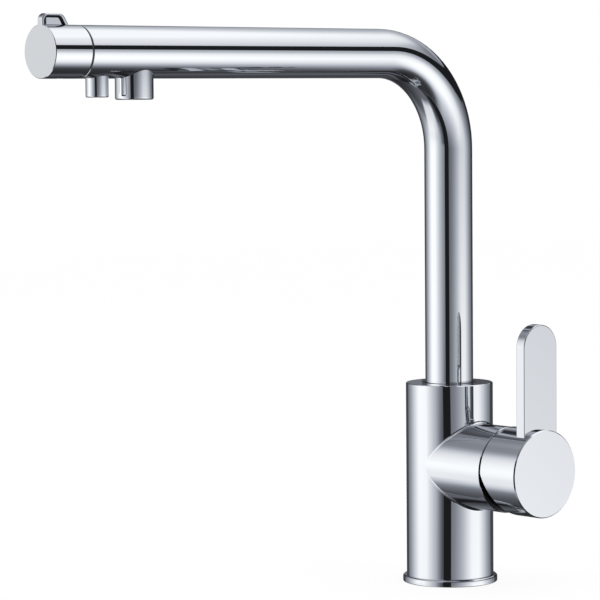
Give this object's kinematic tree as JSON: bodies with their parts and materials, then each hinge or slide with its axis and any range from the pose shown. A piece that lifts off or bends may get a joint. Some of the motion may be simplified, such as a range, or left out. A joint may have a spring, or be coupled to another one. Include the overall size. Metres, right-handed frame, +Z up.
{
  "type": "kitchen mixer tap",
  "caption": "Chromed kitchen mixer tap with a swivelling right-angled spout, a side lever for mixed water and a finned knob at the spout's tip for filtered water.",
  "frame": {"origin": "centre of the base ring's underside, on the worktop", "axes": "+Z up along the body, the spout's arm points along -Y to the user, the lever's boss along +X"},
  "size_m": [0.1035, 0.3142, 0.3225],
  "materials": {
    "chrome": "mirror polished plating",
    "brass": "machined",
    "steel": "turned",
    "black_rubber": "moulded",
    "white_ceramic": "lapped",
    "cartridge_plastic": "moulded",
    "grey_plastic": "moulded",
    "tube_plastic": "extruded"
  },
  "bodies": {
    "body": {"body_shell": "chrome", "base_ring": "chrome", "base_seal": "black_rubber", "inlet_block": "brass", "cross_drill_plug": "brass", "channel_seals": "black_rubber", "block_screws": "steel", "waterway_core": "brass", "filter_tube_seal": "black_rubber", "cartridge_cup": "brass", "cup_seals": "black_rubber", "cup_screws": "steel", "cartridge_base": "cartridge_plastic", "cartridge_port_seals": "black_rubber", "fixed_ceramic_disc": "white_ceramic", "cartridge_housing": "cartridge_plastic", "cartridge_nut": "brass", "dome_cover": "chrome", "swivel_washer": "grey_plastic", "swivel_wiper": "black_rubber", "spout_lock_screw": "steel"},
    "spout": {"spout_tube": "chrome", "spout_spigot": "brass", "spigot_o_rings": "black_rubber", "filter_tube": "tube_plastic", "valve_block": "brass", "valve_block_seal": "black_rubber", "filter_valve_seal": "black_rubber", "filter_valve_fixed_disc": "white_ceramic", "filter_valve_sleeve": "brass", "main_outlet": "chrome", "filter_outlet": "chrome", "aerator_washer": "black_rubber", "aerator_housing": "chrome", "aerator_insert": "grey_plastic", "filter_outlet_insert": "grey_plastic", "knob_washer": "black_rubber"},
    "filter_knob": {"filter_knob": "chrome", "knob_grub_screw": "steel", "filter_valve_spindle": "brass", "filter_valve_turning_disc": "white_ceramic"},
    "rotor": {"cartridge_rotor": "cartridge_plastic", "stem_pin": "steel"},
    "lever": {"handle_hub": "chrome", "lever_blade": "chrome", "blade_screws": "steel", "lever_stem": "steel", "handle_grub_screw": "steel", "handle_button": "grey_plastic"},
    "slider": {"moving_ceramic_disc": "white_ceramic", "disc_carrier": "cartridge_plastic"}
  },
  "joints": [
    {"name": "spout_swivel", "type": "hinge", "parent": "body", "child": "spout", "pos_m": [0, 0, 0.11], "axis": [0, 0, 1], "range_deg": [-180, 180]},
    {"name": "filter_knob_turn", "type": "hinge", "parent": "spout", "child": "filter_knob", "pos_m": [0, -0.275, 0.303], "axis": [0, -1, 0], "range_deg": [0, 90]},
    {"name": "lever_turn", "type": "hinge", "parent": "body", "child": "rotor", "pos_m": [0.0444, 0, 0.0684], "axis": [1, 0, 0], "range_deg": [-45, 45]},
    {"name": "lever_lift", "type": "hinge", "parent": "rotor", "child": "lever", "pos_m": [0.0444, 0, 0.0684], "axis": [0, 1, 0], "range_deg": [0, 13]},
    {"name": "disc_slide", "type": "slide", "parent": "rotor", "child": "slider", "axis": [0, 0, 1], "range_m": [0, 0.0029]}
  ],
  "couplings": [
    {"joint": "disc_slide", "follows": "lever_lift", "m_per_rad": 0.0125}
  ]
}
